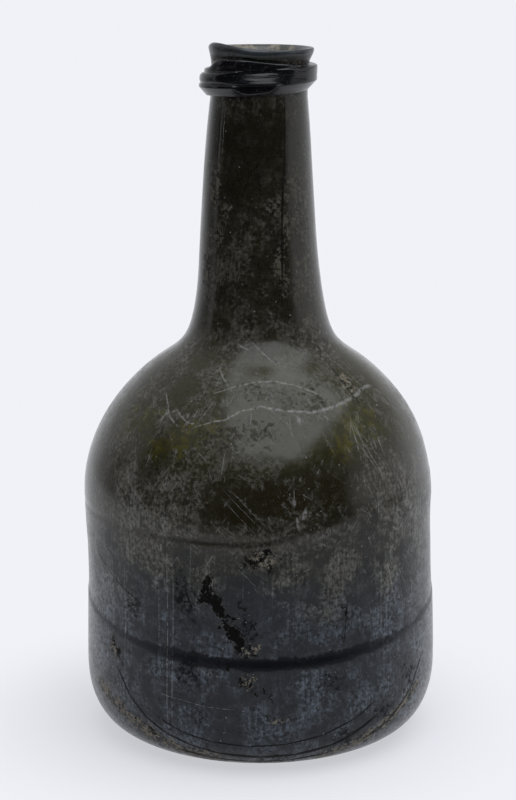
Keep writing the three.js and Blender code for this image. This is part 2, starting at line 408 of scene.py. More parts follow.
def standing_skin(s, body_wall, dome_wall, throat_wall):
    """The side, shoulder and neck drawn upward, the outside where the walls are nothing."""
    shoulder_level = s.heel_height + s.side_height
    root_level = shoulder_level + s.shoulder_rise + s.neck_root_lift
    foot = at(s.heel_radius - body_wall, s.heel_height)
    head = at(s.shoulder_radius - body_wall, shoulder_level)
    reach = s.shoulder_radius - body_wall
    rise = s.shoulder_rise - dome_wall
    lead = 4 / 3 * math.tan(SHOULDER_ARC / 4)
    cos, sin = math.cos(SHOULDER_ARC), math.sin(SHOULDER_ARC)
    dome_end = at(reach * cos, shoulder_level + rise * sin)
    dome_way = Vector((-reach * sin, rise * cos))
    root = at(s.neck_root_radius - throat_wall, root_level)
    top = at(s.neck_top_radius - throat_wall, root_level + s.neck_height)
    waist_way = at(s.shoulder_radius - s.waist_radius, SIDE_ARRIVAL)
    dome_run = dome_way.normalized() * SHOULDER_SWEEP
    return [
        sweep(foot, at(0, SIDE_CLIMB), head, waist_way),
        Span(head, head + at(0, rise * lead), dome_end - dome_way * lead, dome_end),
        sweep(dome_end, dome_run, root, climb(NECK_ROOT_SLOPE, NECK_SWEEP)),
        sweep(root, climb(NECK_ROOT_SLOPE, NECK_RUN), top, climb(NECK_TOP_SLOPE, NECK_ARRIVAL)),
    ]


def kick_underside(s):
    """The underside of the pushed-in base, from the axis out to the resting ring."""
    rest_inner = s.rest_outer - s.rest_width
    return Span(
        at(0, s.kick_height),
        at(KICK_TIP, s.kick_height),
        at(rest_inner - KICK_FLANK, KICK_FLANK_RISE),
        at(rest_inner, 0),
    )


def levels(s):
    """Heights of the neck's top, the lip's flare, its edge and the whole bottle."""
    neck_top = s.heel_height + s.side_height + s.shoulder_rise + s.neck_root_lift + s.neck_height
    whole = neck_top + s.mouth_height
    edge = whole - LIP_ROUND_HEIGHT
    return neck_top, edge - s.lip_flare, edge, whole


def vessel_spans(s):
    """The whole wall, from the tip of the kick round the outside and back down the inside."""
    neck_top, flare_level, edge_level, whole = levels(s)
    rest_inner = at(s.rest_outer - s.rest_width, 0)
    rest_outer = at(s.rest_outer, 0)
    heel_head = at(s.heel_radius, s.heel_height)
    side, dome, throat, neck = standing_skin(s, 0, 0, 0)
    flare_foot = at(s.neck_top_radius, flare_level)
    edge = at(s.lip_radius, edge_level)
    crest = at(s.lip_radius - LIP_ROUND_WIDTH, whole)
    bore_head = at(s.neck_top_radius - s.neck_wall, whole - FUNNEL_DEPTH)
    bore_foot = at(s.neck_top_radius - s.neck_wall, neck_top)
    outside = (
        (kick_underside(s), 5),
        (straight(rest_inner, rest_outer), 1),
        (sweep(rest_outer, at(s.heel_roll, 0), heel_head, at(0, HEEL_CLIMB)), 5),
        (side, 10),
        (dome, 5),
        (throat, 3),
        (neck, 5),
        (straight(at(s.neck_top_radius, neck_top), flare_foot), 1),
        (sweep(flare_foot, at(0, s.lip_flare / 2), edge, at(0, s.lip_flare / 4)), 2),
        (sweep(edge, at(0, LIP_ROUND_CLIMB), crest, at(-LIP_ROUND_ARRIVAL, 0)), 1),
        (sweep(crest, at(-FUNNEL_LEAD, 0), bore_head, at(0, -FUNNEL_DEPTH / 2)), 2),
        (straight(bore_head, bore_foot), 1),
    )
    trough = at(s.rest_outer + TROUGH_OFFSET, s.base_wall)
    inner_kick = Span(
        at(0, s.kick_height + s.kick_wall),
        at(KICK_TIP + s.kick_wall, s.kick_height + s.kick_wall),
        at(rest_inner.x - KICK_FLANK + FLANK_SPREAD, KICK_FLANK_RISE - FLANK_DIP),
        trough,
    )
    inner_heel = sweep(
        trough, at(TROUGH_RUN, 0), heel_head - at(s.side_wall, 0), at(0, HEEL_CLIMB / 2)
    )
    inside = [inner_kick, inner_heel, *standing_skin(s, s.side_wall, s.shoulder_wall, s.neck_wall)]
    return [
        *[piece for span, count in outside for piece in divided(span, count)],
        *[backward(span) for span in reversed(inside)],
    ]


def profile_curve(name, spans, resolution):
    """A curve object that holds the spans in its XZ plane, radius along X."""
    data = bpy.data.curves.new(name, "CURVE")
    data.dimensions = "3D"
    line = data.splines.new("BEZIER")
    line.bezier_points.add(len(spans))
    line.resolution_u = resolution
    for index, point in enumerate(line.bezier_points):
        before = spans[max(index - 1, 0)]
        after = spans[min(index, len(spans) - 1)]
        place = spans[index].start if index < len(spans) else spans[-1].end
        point.handle_left_type = "FREE"
        point.handle_right_type = "FREE"
        point.co = (place.x, 0, place.y)
        point.handle_left = (before.arrive.x, 0, before.arrive.y)
        point.handle_right = (after.leave.x, 0, after.leave.y)
    return placed(name, data)


# Geometry nodes

# How far the glass wandered sideways as it was worked: share of the height, then millimetres
WANDER = (
    (0, -0.15), (0.1, 0.25), (0.27, -0.25), (0.36, -0.75), (0.58, 0.0), (0.78, -0.65), (0.93, -0.35),
    (1, 0.8),
)
WANDER_LOW = -1.0
WANDER_SPAN = 2.0
LIP_PEAK_SPREAD = math.radians(45)
WELD = 0.001 * MM
HAND_SOCKETS = ("Height", "Flare Level", "Lip Level", "Lip Bearing", "Lip Peak")


def key(label):
    """The word in the script for the label of an input."""
    return label.lower().replace(" ", "_")


def geometry_tree(name, counts, sizes):
    """A tree with a geometry, counts, sizes and a material going in; gives its plan and wires."""
    tree = bpy.data.node_groups.new(name, "GeometryNodeTree")
    tree.interface.new_socket("Geometry", in_out="OUTPUT", socket_type="NodeSocketGeometry")
    labels_by_kind = {
        "Geometry": ["Geometry"],
        "Int": counts,
        "Float": [*sizes, *HAND_SOCKETS],
        "Material": ["Material"],
    }
    for kind, labels in labels_by_kind.items():
        for label in labels:
            tree.interface.new_socket(label, in_out="INPUT", socket_type="NodeSocket" + kind)
    plan = Plan(tree)
    outputs = [output for output in plan.node("NodeGroupInput").outputs if output.name]
    return plan, SimpleNamespace(**{key(output.name): Wire(plan, output) for output in outputs})


def hand_worked(plan, place, given):
    """Moves a worked place sideways with the wander and draws the lip up at its peak."""
    x, y, z = plan.parts(place)
    points = [(share, (shift - WANDER_LOW) / WANDER_SPAN) for share, shift in WANDER]
    wander = plan.curve(z / given.height, points) * WANDER_SPAN + WANDER_LOW
    lift = plan.step(z, given.flare_level, given.lip_level)
    away = (plan.maths("ARCTAN2", x, -y) - given.lip_bearing) / LIP_PEAK_SPREAD
    peak = plan.maths("EXPONENT", -(away * away)) * given.lip_peak
    return plan.vector(x + wander * MM, y, z + lift * peak)


def hand_values(s):
    """What the inputs that hand_worked reads are set to."""
    _, flare_level, edge_level, whole = levels(s)
    values = (whole, flare_level, edge_level, s.lip_bearing, s.lip_peak)
    return dict(zip(map(key, HAND_SOCKETS), values))


def grid_shares(plan, rows, around):
    """A flat grid, with wires for the share of its rows and of its steps round."""
    inputs = {"Size X": 1.0, "Size Y": 1.0, "Vertices X": rows, "Vertices Y": around + 1}
    grid = plan.wire("GeometryNodeMeshGrid", None, inputs)
    across, along, _ = plan.parts(plan.wire("GeometryNodeInputPosition"))
    return grid, across + 0.5, 0.5 - along


def shaped(plan, grid, place, given):
    """Puts the grid's points at their worked places, welds, smooths and paints it, ends the tree."""
    moved = {"Geometry": grid, "Position": hand_worked(plan, place, given)}
    mesh = plan.wire("GeometryNodeSetPosition", None, moved)
    for kind, inputs in (
        ("MergeByDistance", {"Distance": WELD}),
        ("SetShadeSmooth", {}),
        ("RealizeInstances", {}),
        ("SetMaterial", {"Material": given.material}),
    ):
        mesh = plan.wire("GeometryNode" + kind, None, {"Geometry": mesh, **inputs})
    plan.node("NodeGroupOutput", None, {"Geometry": mesh})
    return plan.tree


def round_axis(plan, radius, height, bearing):
    """The place at a radius, a height and a bearing from the front."""
    sine, cosine = plan.maths("SINE", bearing), plan.maths("COSINE", bearing)
    return plan.vector(radius * sine, -(radius * cosine), height)


# How the ripple sets in above the still level and outward from the axis, and how it is drawn
RIPPLE_RISE = 6 * MM
RIPPLE_REACH = 8 * MM
RIPPLE_GAIN = 3.0
RIPPLE_STRETCH = 1.6

# Millimetres above the band or the seam over which the wall steps in and comes back
BAND_RISE, BAND_FALL = (-1.7, 1.7), (2, 26)
SEAM_RISE, SEAM_FALL = (-1.4, 1.0), (1.5, 14)


def turned_tree():
    """Turns a profile curve about the axis, as glass on the rod, and lets the wall ripple."""
    sizes = (
        "Ripple", "Ripple Size", "Seed", "Still Level", "Outer Radius", "Band Depth", "Seam Depth"
    )
    plan, given = geometry_tree("turned_glass", ["Steps Round"], sizes)
    line = plan.wire("GeometryNodeCurveToMesh", None, {"Curve": given.geometry})
    rows = plan.wire("GeometryNodeAttributeDomainSize", None, {"Geometry": line})
    grid, share, turn = grid_shares(plan, rows, given.steps_round)
    drawn = plan.wire(
        "GeometryNodeSampleIndex",
        {"data_type": "FLOAT_VECTOR"},
        {
            "Geometry": line,
            "Value": plan.wire("GeometryNodeInputPosition"),
            "Index": plan.maths("ROUND", share * (rows - 1)),
        },
    )
    radius, _, height = plan.parts(drawn)
    bearing = turn * TURN
    size, still = given.ripple_size, given.still_level
    noise_at = plan.vectors(
        "DIVIDE",
        round_axis(plan, radius, height, bearing),
        plan.vector(size, size, size * RIPPLE_STRETCH),
    )
    wave = plan.noise(noise_at, size=1.0, detail=1.5, seed=given.seed) - 0.5
    freed = plan.step(height, still, still + RIPPLE_RISE) * plan.step(radius, 0, RIPPLE_REACH)
    swing = wave * given.ripple * RIPPLE_GAIN * freed
    turned = plan.maths("WRAP", bearing, math.pi, -math.pi)
    above_band = height * IN_MM - band_level(plan, turned)
    above_seam = height * IN_MM - seam_level(plan, turned)
    steps = (
        given.band_depth * plan.between(above_band, BAND_RISE, BAND_FALL)
        + given.seam_depth * plan.between(above_seam, SEAM_RISE, SEAM_FALL)
    )
    drawn_in = steps * plan.maths("GREATER_THAN", radius, given.outer_radius)
    place = round_axis(plan, radius + swing - drawn_in, height, bearing)
    return shaped(plan, grid, place, given)


# Shares of the trail's width and thickness by turns from the front
TRAIL = (
    (0.62, 0.5, 0.7), (0.7, 1, 1.1), (0.92, 1, 1), (0.97, 0.9, 0.4), (1.02, 0.9, 0.4), (1.07, 1, 1),
    (1.75, 0.95, 1), (2, 1.15, 1), (2.25, 1.15, 1), (2.58, 0.8, 0.9), (2.75, 0.5, 0.6),
    (2.83, 0.8, 0.62), (2.9, 1.05, 0.6), (3, 0.9, 0.55), (3.09, 0.7, 0.45), (3.17, 0.35, 0.3),
)
TRAIL_START, TRAIL_END = TRAIL[0][0], TRAIL[-1][0]
LARGEST_SHARE = 1.2
WINDINGS = 4

# The trail's section, the turns over which it starts and tapers out, and how its turns run together
SQUARENESS = 0.7
START_TURNS = 0.03
TAPER_TURNS = 0.05
TURN_BLEND = 0.25 * MM
THINNEST_TRAIL = 0.12 * MM

# The facets that the tool pressed
UPPER_FACET_HEIGHT = 4.2 * MM
FRONT_SLANT = 0.42
FRONT_FOCUS = 6
BACK_LEAN = 0.02
LOWER_SLANT = 0.9
FACET_BLEND = 0.35 * MM

# Fine streaks along the trail
STREAK_ROUND = 2
STREAK_WIDTH = 0.9 * MM
STREAK_DEPTH = 0.16 * MM

# How deep the trail's sheet lies in the neck, front and back, and how far it goes on past the trail
SEATED = 0.5 * MM
SEATED_BACK = 1.4 * MM
SEATED_BELOW = 1.2 * MM
SEATED_ABOVE = 0.4 * MM

# Added to the share of the sheet's rows, so that its last row falls on its first
PAST_WHOLE = 0.000001


def trail_reach(plan, given, turn, height):
    """How far one winding stands out from the neck at a height."""
    length_in_turns = TRAIL_END - TRAIL_START
    run = (turn - TRAIL_START) / length_in_turns
    shares = []
    for column in (1, 2):
        points = [
            ((row[0] - TRAIL_START) / length_in_turns, row[column] / LARGEST_SHARE) for row in TRAIL
        ]
        shares.append(plan.curve(run, points) * LARGEST_SHARE)
    width = shares[0] * given.width
    middle = given.foot + given.pitch * (turn - TRAIL_START) + width / 2
    off = plan.smallest(abs(height - middle) / (width / 2), 1.0)
    bulge = (1 - off ** (2 / SQUARENESS)) ** (SQUARENESS / 2)
    ends = plan.between(
        turn, (TRAIL_START, TRAIL_START + START_TURNS), (TRAIL_END - TAPER_TURNS, TRAIL_END)
    )
    return shares[1] * given.thickness * bulge * plan.maths("SQRT", ends)


def tool_radius(plan, given, height, sine, cosine):
    """How far from the axis the pressing tool was held, at the sine and cosine of a bearing."""
    ridge_radius = given.neck_radius + given.ridge_reach
    above_ridge = height - given.tilt * sine - given.foot - given.ridge_height
    slant = plan.largest(cosine, 0) ** FRONT_FOCUS * FRONT_SLANT - BACK_LEAN
    on_face = plan.smallest(plan.largest(above_ridge, 0), UPPER_FACET_HEIGHT)
    upper = ridge_radius - on_face * slant
    lower = ridge_radius + plan.smallest(above_ridge, 0) * LOWER_SLANT
    return plan.smallest(upper, lower) - given.shift * sine


def trail_tree():
    """Winds the trail round the neck, fuses its turns and presses them with the tool."""
    sizes = (
        "Foot", "Top", "Pitch", "Width", "Thickness", "Neck Radius", "Lip Radius", "Ridge Height",
        "Ridge Reach", "Tilt", "Shift",
    )
    plan, given = geometry_tree("wound_trail", ["Steps Round", "Rows"], sizes)
    grid, share, turn = grid_shares(plan, given.rows * 2 + 1, given.steps_round)
    closed = plan.maths("FRACT", share + PAST_WHOLE)
    low = given.foot - SEATED_BELOW
    height = low + (1 - abs(closed * 2 - 1)) * (given.top - low)
    flare = plan.step(height, given.flare_level, given.lip_level)
    neck = (
        given.neck_radius
        + plan.largest(given.foot - height, 0) * NECK_TOP_SLOPE
        + flare * (given.lip_radius - given.neck_radius)
    )
    reaches = [trail_reach(plan, given, turn + winding, height) for winding in range(WINDINGS)]
    reach = reaches[0]
    for next_reach in reaches[1:]:
        reach = plan.maths("SMOOTH_MAX", reach, next_reach, TURN_BLEND)
    bearing = turn * TURN
    sine, cosine = plan.maths("SINE", bearing), plan.maths("COSINE", bearing)
    tool = tool_radius(plan, given, height, sine, cosine)
    streak_at = plan.vector(sine * STREAK_ROUND, cosine * STREAK_ROUND, height / STREAK_WIDTH)
    streak = (plan.noise(streak_at, size=1.0, detail=2.5, seed=3.0) - 0.5) * STREAK_DEPTH
    pressed = plan.maths("SMOOTH_MIN", neck + reach, tool, FACET_BLEND) + streak
    shows = plan.maths("GREATER_THAN", reach, THINNEST_TRAIL)
    outer = neck - SEATED + shows * (pressed - neck + SEATED)
    inside = plan.maths("GREATER_THAN", closed, 0.5)
    radius = outer + inside * (neck - SEATED_BACK - outer)
    return shaped(plan, grid, round_axis(plan, radius, height, bearing), given)


def grown(host, tree, settings, values, name):
    """Runs a tree on the host and returns a plain mesh object; settings fill in for values."""
    modifier = host.modifiers.new(tree.name, "NODES")
    modifier.node_group = tree
    for socket in tree.interface.items_tree:
        word = key(socket.name)
        if socket.in_out == "INPUT" and word != "geometry":
            modifier[socket.identifier] = values[word] if word in values else getattr(settings, word)
    bpy.context.view_layer.update()
    evaluated = host.evaluated_get(bpy.context.evaluated_depsgraph_get())
    mesh = bpy.data.meshes.new_from_object(evaluated)
    mesh.name = name
    host.modifiers.remove(modifier)
    bpy.data.objects.remove(host)
    if not mesh.polygons:
        raise RuntimeError(f"{name} came out empty")
    return placed(name, mesh)


# Marks on the surface, by bearing in degrees and height in millimetres

BODY_RADIUS = 57.0
DOME_FOOT = 80.0
DOME_RISE = 54.6
NECK_FOOT = 139.0
NECK_FOOT_RADIUS = 22.0
NECK_TAPER = 0.092
LIP_FOOT = 218.0

# Half of a stroke's length, as a share of the way between two points of its line
STROKE_OVERLAP = 0.82


class Mark(NamedTuple):
    """A patch: its middle, half its width and height, and how far its top leans to the left."""

    bearing: float
    height: float
    across: float
    tall: float
    lean: float = 0.0


def girth(height):
    """About how far the outside stands from the axis, in millimetres."""
    if height < DOME_FOOT:
        return BODY_RADIUS
    share = min((height - DOME_FOOT) / DOME_RISE, 1.0)
    dome = BODY_RADIUS * math.sqrt(1 - share * share)
    return max(dome, NECK_FOOT_RADIUS - (height - NECK_FOOT) * NECK_TAPER)


def marks(*rows):
    """Patches, each from a row of its values."""
    return [Mark(*row) for row in rows]


def line(breadth, *points):
    """Thin strokes that follow a line of points, each a bearing and a height."""
    strokes = []
    for (bearing, height), (next_bearing, next_height) in zip(points, points[1:]):
        across = math.radians(next_bearing - bearing) * BODY_RADIUS
        rise = next_height - height
        strokes.append(
            Mark(
                (bearing + next_bearing) / 2,
                (height + next_height) / 2,
                breadth,
                math.hypot(across, rise) * STROKE_OVERLAP,
                math.degrees(math.atan2(-across, rise)),
            )
        )
    return strokes


# Places where the film has flaked off, down to the dark glass
FLAKES = marks(
    (-16.6, 64.2, 2.1, 3.4, 4), (-15.4, 59.4, 4, 2.9, -8), (-18.9, 58.4, 1.9, 0.8, -4),
    (-12.7, 55.9, 2.4, 3.6, 40), (-9.3, 54, 0.9, 3.4, 72), (-10.4, 51, 2.5, 2, -20),
    (-8, 48.5, 2.7, 3.2, 36), (-6.3, 44.7, 2, 3.6, 10), (-3, 44.7, 1.1, 0.8, -20),
    (-1.5, 41.8, 1.3, 0.6, -10), (-3.6, 41.1, 1.6, 0.5, 5), (1.9, 75.2, 1.9, 1.5, -30),
    (-0.1, 72.7, 1.2, 1.7, -10), (2.2, 69.8, 0.9, 2.8, 24), (-3, 71.8, 0.7, 4.2, 50),
    (-6.1, 58.8, 1.2, 0.6, 20), (-5.7, 57.3, 1.4, 0.7, -15), (5, 73, 0.6, 0.6), (6.7, 71, 0.6, 0.5),
    (-5.3, 71, 0.6, 0.6), (-5.5, 33.6, 1.8, 0.7, -5), (-3.9, 31.9, 1.3, 0.7, 30), (-10.2, 38, 0.9, 0.7),
    (-54.3, 38.8, 0.9, 3, 14), (-51.9, 35, 1, 2.6, 20), (-49.7, 32.4, 0.7, 1.3, 10),
    (-5.6, 31.6, 0.9, 0.6), (-1.4, 29.6, 0.8, 0.6, 30), (-44, 14.6, 1.2, 0.9, 10),
    (-38, 12, 1.5, 0.8, -10), (-33, 9.4, 1.3, 0.9), (-27, 6.8, 0.9, 0.7, 20), (-18, 9.6, 0.6, 0.9, 20),
    (-50, 17.4, 0.9, 0.9), (1.3, 30.2, 0.6, 2.2, 26), (3.6, 27.4, 0.5, 2.4, 40), (2.2, 21.8, 0.7, 1.6, 38),
    (27.8, 54, 0.5, 4.2, 3), (27, 46, 0.4, 2.4, -6), (142, 61, 2.6, 4.6, 24), (146, 52, 1.8, 3.4, 10),
    (-128, 30, 1.2, 4, -20), (98, 71, 1.4, 2.2, 30), (-95, 84, 1, 3.4, 12),
)

# Broad places where the dull film has gone and dark gloss shows
BARE = marks(
    (8, 91, 12, 6, -8), (-6, 87, 9, 5), (22, 92, 6, 7), (-15.5, 110.8, 3.4, 3.6, 20), (-2, 198, 30, 11),
    (-26, 182, 3.4, 10), (22, 166, 1.1, 14), (-10, 186, 4, 8), (18, 148, 2.4, 9), (165, 100, 14, 10),
    (-105, 112, 9, 8),
)

# Dark stains in the film of the lower body
STAINS = marks(
    (-24, 59, 5.4, 18, 2), (-22.5, 36, 4.4, 13, -4), (-44, 53, 7, 3.4, 58), (-20, 21, 5, 3.4),
    (6, 3.6, 30, 2.6), (24, 30.5, 9, 3, -14), (-4, 50, 4, 9, 20), (30, 11, 12, 4.6, -14),
    (44, 17.5, 9, 5.2, -30), (56, 27, 5, 6, -20), (-40, 9, 8, 3, 20), (120, 40, 9, 16, 10),
    (-140, 60, 8, 18, -10), (170, 20, 16, 5),
)

# Places where an even film dims the gloss
VEILS = marks(
    (-13, 108, 8.5, 6), (0, 110.4, 7.5, 2.8, -10), (3, 121.4, 15, 1.6, -4), (14, 117, 6, 1.6, -8),
    (-8, 99.5, 8, 2.2, -14), (25, 119, 4, 6, 10), (150, 110, 14, 9),
)

# Places where the film is thick, pale and scratched
HAZES = marks(
    (-46, 86, 13, 8), (-62, 60, 7, 26), (-46, 66, 6, 10), (-30.5, 50, 2.2, 26), (-30, 30, 2.4, 16),
    (46, 58, 5, 14, 12), (43, 99, 6, 9, 16), (56, 88, 8, 12), (9, 126, 9, 5, 20), (-24, 126, 5, 6),
    (-60, 106, 4, 12, 14), (-20, 47, 12, 5), (5, 58, 9, 9), (6, 30, 11, 6), (-33, 92, 7, 5),
    (34, 34, 12, 8), (-38, 170, 2.6, 8), (-62, 158, 2.6, 8), (130, 84, 16, 12), (-120, 44, 14, 14),
    (176, 62, 10, 22),
)

# Places where the film has gone and the glass shows through; on the dome they take the painted olive light
# that comes through the thin shoulder
WINDOWS = marks(
    (-19, 112, 4.4, 3, 24), (-28, 107.5, 9, 5.6, 22), (-39, 102.5, 9, 4.6, 10), (-48, 112, 5, 5, 10),
    (37, 112, 7.6, 6.2, -10), (31, 104.5, 6, 7, -20), (48, 111, 4.6, 5, -15), (-58, 109, 5, 5),
    (2, 93, 6, 4), (-3, 168, 2.6, 9), (6, 178, 2.2, 7), (3, 152, 2.6, 8), (110, 108, 12, 8),
    (-150, 104, 14, 8), (160, 165, 4, 12),
)

# Lime and soil that still cling to the glass
CRUSTS = (
    *line(4, (-66, 22), (-56, 18), (-46, 14), (-36, 9.6), (-26, 6.2), (-12, 4.4)),
    *line(2.8, (20, 5), (32, 7.4), (42, 11.4), (52, 16.8), (62, 22.6)),
    *marks(
        (-46, 221.6, 9, 1.1), (44, 220.8, 8, 1.4), (4, 220.2, 14, 0.7), (-55, 36, 2.8, 4.6, 16),
        (-2.8, 43.4, 3, 2.6), (-15.6, 35.4, 2.8, 0.7), (-4.4, 32.4, 2.8, 2.2), (0.4, 73, 5, 4.2, 10),
        (6, 20.6, 4, 1), (-4, 33, 3.4, 3), (-36, 175, 2.4, 4), (-44, 166, 2.2, 5), (-60, 156, 3, 8),
        (27, 169, 1, 10), (24, 152, 1.1, 8), (15, 176, 4, 5), (19, 160, 3, 8), (-50, 182, 3, 9),
        (47, 121.5, 3.4, 3.2, 36), (132, 46, 9, 4, 10), (-150, 12, 16, 2.4, -4), (170, 96, 7, 3, 12),
        (-118, 160, 3, 11), (100, 14, 12, 2, 6),
    ),
)

# Scratches, chips and rubbed places
WORN = (
    *marks(
        (-45.8, 84, 0.35, 1.6, -8), (-45, 80.4, 0.75, 2.4, 12), (10.6, 90.2, 0.9, 1.5),
        (14, 86.8, 0.9, 2.6, -18), (11.6, 84.2, 0.5, 3.2, 6), (-34.2, 62.9, 0.9, 1.2),
    ),
    *line(0.32, (-40, 113.6), (-36, 115), (-30, 112.4), (-25.6, 111.8)),
    *line(0.26, (-25, 111.4), (-19, 113), (-13.8, 113.8), (-8.3, 116.2), (0.8, 117.6)),
    *line(0.34, (0.8, 117.5), (10.4, 116.3), (21, 115.6)),
    *line(0.45, (21, 115.4), (33, 116.2), (44.1, 117.6), (56, 119.4), (62, 119.2)),
    *line(0.24, (-46.6, 118.6), (-42, 116), (-38, 113), (-33, 111)),
    *line(0.14, (-22, 120.4), (-12, 122.6), (-2, 123.8), (8, 123.9), (18, 122.6), (28, 120)),
    *marks(
        (15.4, 113.6, 0.8, 1.7, -6),
    ),
    *line(0.13, (-34, 26.2), (-25.3, 25.4), (-16.9, 24.2), (-9, 24)),
    *line(0.2, (38, 109.2), (45, 93.4)),
    *line(0.15, (37, 106), (43.4, 95.6)),
    *line(0.12, (40.4, 107.6), (47.4, 96)),
    *line(0.1, (-10.1, 92.8), (0.6, 82.4)),
    *line(0.1, (-8.4, 93.4), (2, 83)),
    *line(0.1, (-11.6, 91.4), (-1.6, 81.2)),
    *line(0.08, (-6.3, 91.5), (3.6, 82.3)),
    *line(0.16, (-55.3, 66), (-55.1, 38)),
    *line(0.14, (-48.6, 67), (-48.5, 37)),
    *line(0.2, (-30.4, 70), (-30.6, 17)),
    *line(0.18, (-28.2, 66), (-28.8, 21)),
    *line(0.12, (-33.6, 62), (-33.8, 40)),
    *line(0.2, (44.6, 68.4), (49, 52)),
    *line(0.16, (50.5, 64), (54.4, 57.6)),
    *line(0.14, (-36, 92), (-30.4, 78)),
    *line(0.12, (-52, 89), (-55.6, 70)),
    *line(0.12, (-16, 133.2), (-9, 131.9)),
    *line(0.1, (-4, 133.4), (10, 128)),
    *line(0.1, (-9, 71.6), (-1.6, 64.6)),
    *line(0.18, (-42.6, 206), (-43.2, 193)),
    *line(0.14, (-24, 126.4), (-14, 121.6)),
    *line(0.12, (49.6, 132), (57, 116)),
    *marks(
        (35.6, 70.4, 0.32, 0.32), (28.2, 76.8, 0.3, 0.3), (30.3, 16.2, 0.5, 0.4),
        (-26.4, 64.5, 0.28, 0.28), (-10.6, 21.2, 0.3, 0.4), (4.9, 96.2, 0.3, 0.3), (-30, 176, 0.22, 0.3),
    ),
    *line(0.16, (118, 96), (131, 74)),
    *line(0.14, (-160, 88), (-149, 62)),
    *line(0.2, (150, 118), (172, 114)),
)

# Dark fine lines in the film
CRACKS = (
    *line(0.3, (46, 127), (44.6, 121), (46.7, 116)),
    *line(0.34, (29.2, 208), (28, 196), (26.6, 184)),
    *line(0.6, (24.6, 186), (22.4, 170), (21.4, 154)),
    *line(0.42, (-49, 207), (-50, 190)),
    *line(0.2, (-4, 190), (0.6, 181)),
    *line(0.2, (28.8, 59), (27.4, 44.6)),
    *line(0.22, (-66, 66), (-54, 59.4), (-42, 54.6)),
    *line(0.5, (-52, 30), (-46, 22.4), (-39, 16.6), (-32, 12.6), (-23, 9.6), (-13.5, 7.6)),
    *line(0.8, (-13.5, 7.6), (0, 6.6), (12, 7.2), (24, 9.5), (30.7, 12.1), (40, 17.2)),
    *line(0.4, (-34, 17.8), (-26, 14.4), (-16, 12.2), (-4, 11.2)),
    *line(0.4, (-4, 11.2), (8, 11.8), (20, 14), (32, 18.4), (38, 22)),
    *line(0.7, (-28, 6.8), (-18, 5), (-4, 4), (10, 4.4), (22, 6)),
    *line(0.5, (36, 8.6), (46, 13.6), (57, 22), (64, 30)),
)


def ellipse(mark):
    """A mark's ellipse as a scale across, a shear and a scale upward that make it a unit circle."""
    across = mark.across * BODY_RADIUS / girth(mark.height)
    cos, sin = math.cos(math.radians(mark.lean)), math.sin(math.radians(mark.lean))
    wide = math.hypot(cos / across, sin / mark.tall)
    shear = cos * sin * (across ** -2 - mark.tall ** -2) / wide
    tall = math.sqrt((sin / across) ** 2 + (cos / mark.tall) ** 2 - shear ** 2)
    return wide, shear, tall


def place_in_mm(plan):
    """The place on the piece, in millimetres."""
    return plan.vectors("MULTIPLY", plan.wire("ShaderNodeTexCoord", output="Object"), (IN_MM,) * 3)


class Glass:
    """The wires that tell where on the bottle a place is, in millimetres and radians."""

    def __init__(self, plan):
        self.plan = plan
        self.place = place_in_mm(plan)
        x, y, self.z = plan.parts(self.place)
        self.bearing = plan.maths("ARCTAN2", x, -y)
        self.radius = plan.maths("SQRT", x * x + y * y)
        self.unrolled = plan.vector(self.bearing * BODY_RADIUS, self.z, 0.0)

    def helix(self, lean, thin, reach):
        """Noise in thin streaks that lean from the upright and run round without a join."""
        plan = self.plan
        turned = self.bearing - self.z * (math.tan(math.radians(lean)) / BODY_RADIUS)
        across = plan.vector(
            plan.maths("SINE", turned) * (BODY_RADIUS / thin),
            plan.maths("COSINE", turned) * (BODY_RADIUS / thin),
            self.z / reach,
        )
        return plan.noise(across, size=1.0, detail=1.0, seed=lean)

    def frayed(self, size, amounts):
        """Unrolled places moved about by amounts, so that outlines on them come out ragged."""
        plan = self.plan
        inputs = {"Vector": self.place, "Scale": 1 / size, "Detail": 4.0, "Roughness": 0.7}
        x, y, _ = plan.parts(plan.wire("ShaderNodeTexNoise", None, inputs, output="Color"))
        shift = plan.vector((x - 0.5) * (BODY_RADIUS / self.radius), y - 0.5, 0.0)
        return [
            plan.vectors("MULTIPLY_ADD", shift, (amount, amount, 0.0), self.unrolled)
            for amount in amounts
        ]

    def blots(self, patches, where, soft):
        """A mask of patches, with edges as soft as a share of their reach."""
        plan = self.plan
        above = plan.vectors("DOT_PRODUCT", where, (0.0, 1.0, 0.0), output="Value")
        rise = plan.vector(above, 0.0, 0.0)
        nearest = None
        for patch in patches:
            wide, shear, tall = ellipse(patch)
            middle = math.radians(patch.bearing) * BODY_RADIUS
            foot = (-wide * middle - shear * patch.height, -tall * patch.height, 0.0)
            held = plan.vectors("MULTIPLY_ADD", where, (wide, tall, 0.0), foot)
            if patch.lean:
                held = plan.vectors("MULTIPLY_ADD", rise, (shear, 0.0, 0.0), held)
            off = plan.vectors("LENGTH", held, output="Value")
            nearest = off if nearest is None else plan.smallest(nearest, off)
        return 1 - plan.step(nearest, 1 - soft, 1.0)


BAND_MIDDLE = 48.3
BAND_TILT = 9.6
SEAM_FRONT = 77.4
SEAM_CLIMB = 11


def band_level(plan, bearing):
    """Height in millimetres of the tilted band where the body was gathered in."""
    return BAND_MIDDLE - plan.maths("COSINE", bearing) * BAND_TILT


def seam_level(plan, bearing):
    """Height in millimetres of the faint seam under the shoulder, which climbs to the right."""
    climb_from, climb_to, sink_from, sink_to = map(math.radians, (-5, 42, 100, 170))
    climbed = plan.between(bearing, (climb_from, climb_to), (sink_from, sink_to))
    return climbed * SEAM_CLIMB + SEAM_FRONT


def new_material(build, colours):
    """A material filled by the function that it is named for, which returns its surface's wire."""
    material = bpy.data.materials.new(build.__name__)
    material.use_nodes = True
    material.node_tree.nodes.clear()
    plan = Plan(material.node_tree)
    plan.node("ShaderNodeOutputMaterial", None, {"Surface": build(plan, colours)})
    return material


